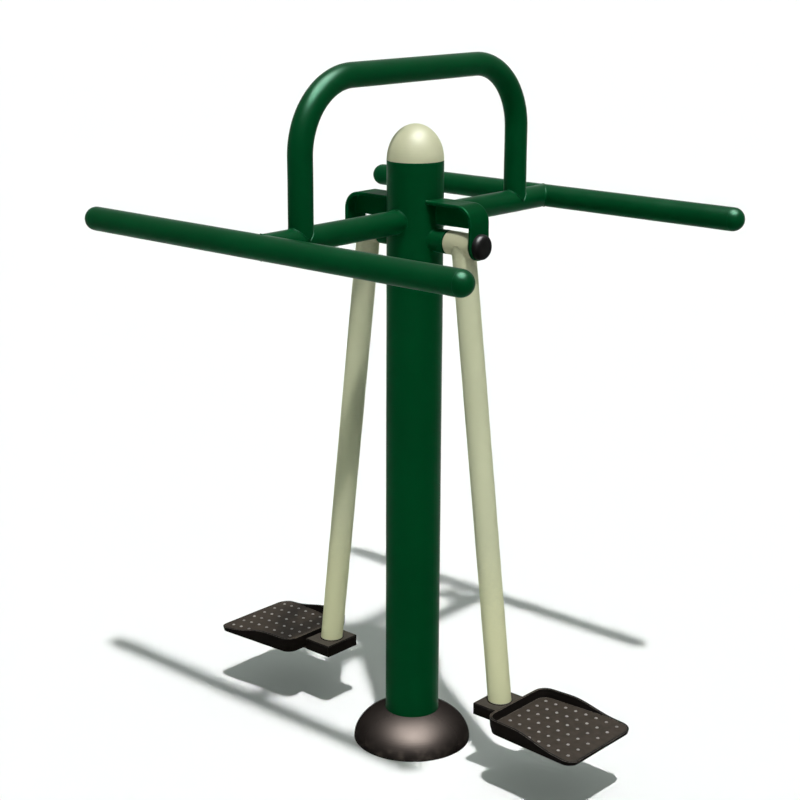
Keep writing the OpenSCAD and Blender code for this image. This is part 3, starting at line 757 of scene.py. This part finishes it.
# Painted highlight: upward faces are painted lighter, in patches with the grime noise
top = facing_up(place) * (top_light_share + grime * top_light_grime_share)
set_sockets(shader, {
    "Base Color": chipped_and_highlit.blend(top.blend(brown_deep, brown_painted_top_light), brown_worn_and_highlight),
    "Roughness": brown_roughness + grime * grime_roughness,
    "Specular IOR Level": brown_gloss,
    "Normal": place.noise(500, detail=3).bump(brush_depth, onto=rounded),
})
for side, name in left_and_right:
    dress(brown, f"{name}_foot_block", f"{name}_carrier_plate")
    weld(
        f"{name}_foot_weld", f"{name}_leg", brown, leg_r,
        (side * foot_x, 0, foot_top), -down_leg(side), on_face(Vector((0, 0, 1))), foot_bead_r,
    )


# Footplates: cast trays with a high rim at the leg that falls away outwards. The upward floor
# inside the rim is painted lighter as a painted highlight from above, pale edge patches are
# partly wear, partly a painted highlight, and shoes have worn the heads of the studs down to
# pale metal.
cast_deep = (0.0045, 0.0034, 0.0024, 1)
# Painted highlight: the lighter brown that the upward floor inside the rim is painted
cast_painted_floor_light = (0.041, 0.0315, 0.0225, 1)
# Pale edge colour: partly wear, partly a painted highlight along the edges
cast_edge_and_highlight = (0.15, 0.125, 0.10, 1)
cast_reach = 1.5 * edge_reach
mottle_levels, flake_levels = (0.3, 0.75), (0.3, 0.6)
flake_and_highlight_share = 0.8
floor_light_share, floor_light_mottle_share = 0.7, 0.3
cast_roughness, mottle_roughness, sand_roughness = 0.5, 0.12, 0.08
sand_depth = 0.0002

stud_pale = (0.25, 0.225, 0.20, 1)
stud_dull = (0.13, 0.11, 0.095, 1)
rust_levels = (0.35, 0.7)
head_gloss = 0.04
head_roughness, rust_roughness = 0.45, 0.2
scratch_depth = 0.00008

plate_x = 0.27631
plate_len = 0.224
half_in, half_out = 0.097, 0.110
floor_level = 0.151
curve_start, curve_drop = 0.135, 0.0075
border_r = 0.026
border_band = (0.005, 0.010)
stud_rows, stud_cols = 8, 6
stud_start, stud_end = 0.0255, 0.0275
stud_span = 0.76
head_r, head_h = 0.0034, 0.0019
head_sides, head_rings = 16, 10
head_crease = math.radians(50)

cast, shader, place = start_finish("cast brown")
sand = place.noise(420, detail=4)
mottle = place.noise(70, detail=5).ramp(*mottle_levels)
rounded, edge = soften(place, cast_reach)
# Edges are painted paler in patches: partly wear, partly a painted highlight
flaked_and_highlit = edge * place.noise(200, detail=4).ramp(*flake_levels) * flake_and_highlight_share

# How far a point lies inside the tray's outline, whose corners are round
u, v = (spot.sum("ABSOLUTE", spot) for spot in (place.along("X"), place.along("Y")))
u = u - plate_x
to_side = border_r - (half_in + u * ((half_out - half_in) / plate_len) - v)
to_end = border_r - (plate_len - u)
to_side, to_end = (d.sum("MAXIMUM", d, 0) for d in (to_side, to_end))
squares = to_side * to_side + to_end * to_end
from_rim = border_r - squares.sum("SQRT", squares)
# Painted highlight: the upward floor inside the rim is painted lighter, patchy with the mottle
patchy_mask = facing_up(place) * from_rim.ramp(*border_band) * (floor_light_share + mottle * floor_light_mottle_share)
set_sockets(shader, {
    "Base Color": flaked_and_highlit.blend(patchy_mask.blend(cast_deep, cast_painted_floor_light), cast_edge_and_highlight),
    "Roughness": cast_roughness + mottle * mottle_roughness + sand * sand_roughness,
    "Specular IOR Level": brown_gloss,
    "Normal": sand.bump(sand_depth, onto=rounded),
})

worn_head, shader, place = start_finish("worn stud heads")
rust = place.noise(120, detail=4).ramp(*rust_levels)
set_sockets(shader, {
    "Base Color": rust.blend(stud_pale, stud_dull),
    "Roughness": head_roughness + rust * rust_roughness,
    "Specular IOR Level": head_gloss,
    "Normal": place.noise(900, detail=3).bump(scratch_depth),
})


def stud_heads(name, side, body):
    """Domed heads on the studs of one tray: one dome, copied along the fanned rows."""
    bpy.ops.object.select_all(action="DESELECT")
    bpy.ops.mesh.primitive_uv_sphere_add(segments=head_sides, ring_count=head_rings, radius=1)
    bpy.ops.object.mode_set(mode="EDIT")
    bpy.ops.mesh.select_all(action="SELECT")
    bpy.ops.mesh.bisect(plane_co=(0, 0, 0), plane_no=(0, 0, 1), use_fill=True, clear_inner=True)
    bpy.ops.mesh.select_all(action="SELECT")
    bpy.ops.transform.resize(value=(head_r, head_r, head_h), center_override=(0, 0, 0))
    bpy.ops.object.mode_set(mode="OBJECT")
    first = bpy.context.object
    bpy.ops.object.shade_smooth_by_angle(angle=head_crease)
    for row in range(stud_rows):
        u = stud_start + (plate_len - stud_start - stud_end) * row / (stud_rows - 1)
        half = half_in + (half_out - half_in) * u / plate_len
        sunk = curve_drop * (max(0, u - curve_start) / (plate_len - curve_start)) ** 2
        for col in range(stud_cols):
            y = stud_span * half * (2 * col / (stud_cols - 1) - 1)
            spot = (side * (plate_x + u), y, floor_level - sunk)
            head = first.copy()
            head.data = first.data.copy()
            bpy.context.scene.collection.objects.link(head)
            head.data.transform(Matrix.Translation(spot))
            head.select_set(True)
    bpy.data.objects.remove(first)
    bpy.context.view_layer.objects.active = bpy.context.selected_objects[0]
    bpy.ops.object.join()
    heads = bpy.context.object
    heads.name = name
    heads.data.materials.append(worn_head)
    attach(heads, body)


for side, name in left_and_right:
    dress(cast, f"{name}_footplate")
    stud_heads(f"{name}_stud_heads", side, f"{name}_leg")


# Footplate bolts and washers: hexagon screws from below, through the carrier plate into the
# tray, zinc plated like the axle.
for side in ("left", "right"):
    dress(zinc, f"{side}_footplate_bolts", f"{side}_footplate_washers")
